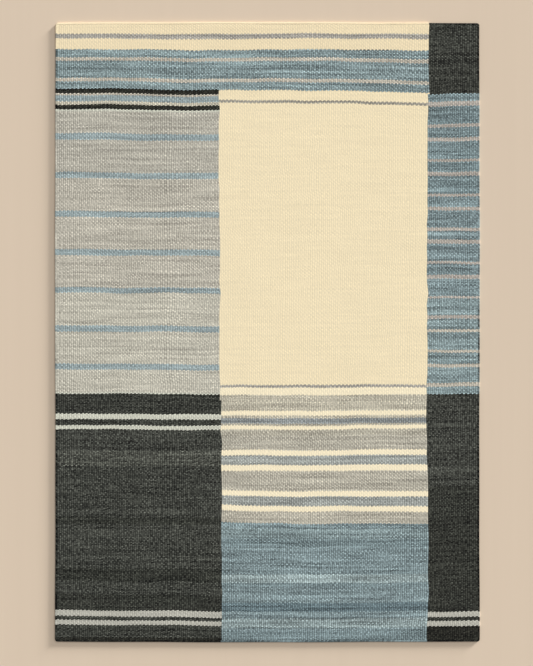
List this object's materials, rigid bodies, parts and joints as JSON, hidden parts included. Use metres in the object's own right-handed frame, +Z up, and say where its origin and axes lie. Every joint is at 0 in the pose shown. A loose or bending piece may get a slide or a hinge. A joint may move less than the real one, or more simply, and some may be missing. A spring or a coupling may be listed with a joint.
{
  "type": "dhurrie rug",
  "caption": "Flat-woven rectangular rug with corded edges, in colour blocks and stripes of cream, grey, blue and charcoal, lying flat on a floor",
  "frame": {"origin": "On the floor, under the middle of the rug", "axes": "+X across the warps towards the right-hand side of the rug as pictured, +Y along the warps towards the end at the top of the picture, +Z up"},
  "size_m": [1.2218, 1.782, 0.006],
  "materials": {
    "woven_wool": "flat-woven wool, matt, with a fine rib along the warps"
  },
  "bodies": {
    "root": {"dhurrie_rug": "woven_wool"}
  },
  "joints": []
}
